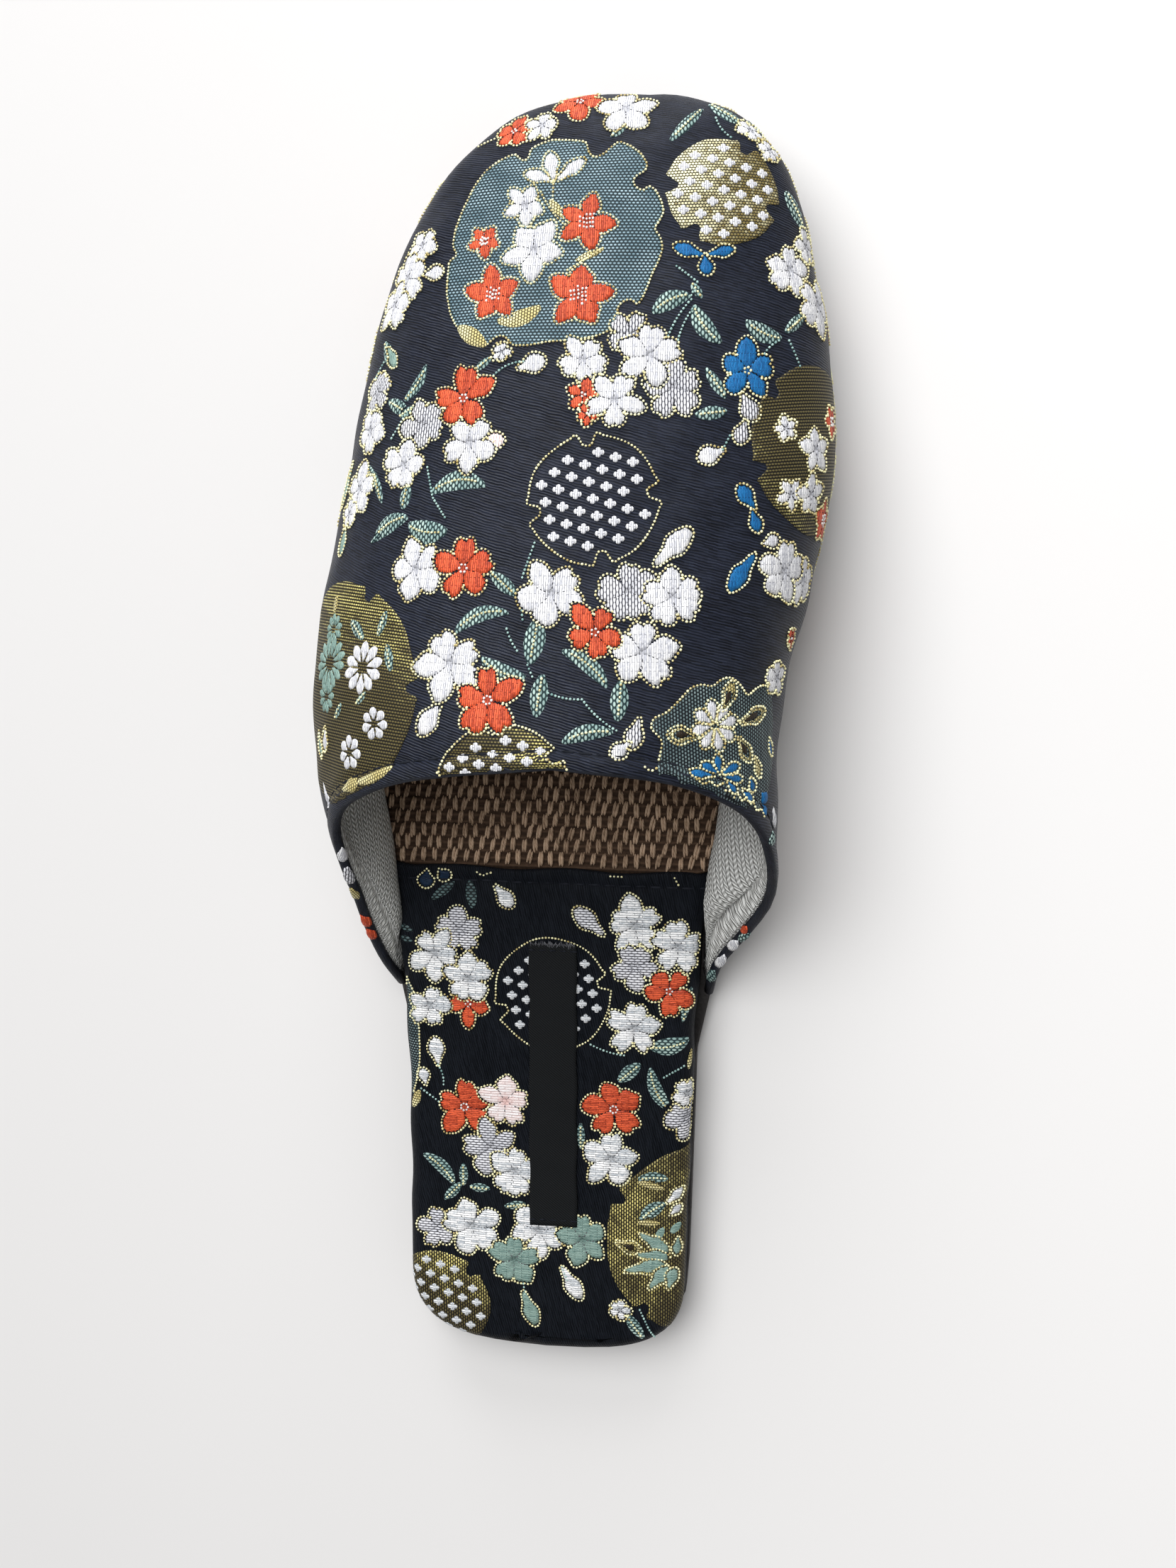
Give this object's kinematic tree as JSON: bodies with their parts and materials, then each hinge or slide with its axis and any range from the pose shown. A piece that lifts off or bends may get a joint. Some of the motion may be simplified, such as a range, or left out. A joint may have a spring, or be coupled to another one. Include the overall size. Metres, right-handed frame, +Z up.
{
  "type": "brocade slipper",
  "caption": "Left backless house slipper: flat sole, woven footbed, brocade heel cover and a rounded brocade vamp with short wings, open at the rear.",
  "frame": {"origin": "centre of the overall box, on the floor under the sole", "axes": "+Y from heel to toe, +Z up, +X towards the big-toe side of this left shoe"},
  "size_m": [0.1016, 0.2604, 0.0611],
  "materials": {
    "outsole": "matt",
    "footbed": "coarse plant-fibre weave",
    "heel_cover": "satin brocade",
    "upper": "satin brocade",
    "woven_tape": "twill ribbon"
  },
  "bodies": {
    "root": {"outsole": "outsole", "footbed": "footbed", "heel_cover": "heel_cover", "upper": "upper", "woven_tape": "woven_tape"}
  },
  "joints": []
}
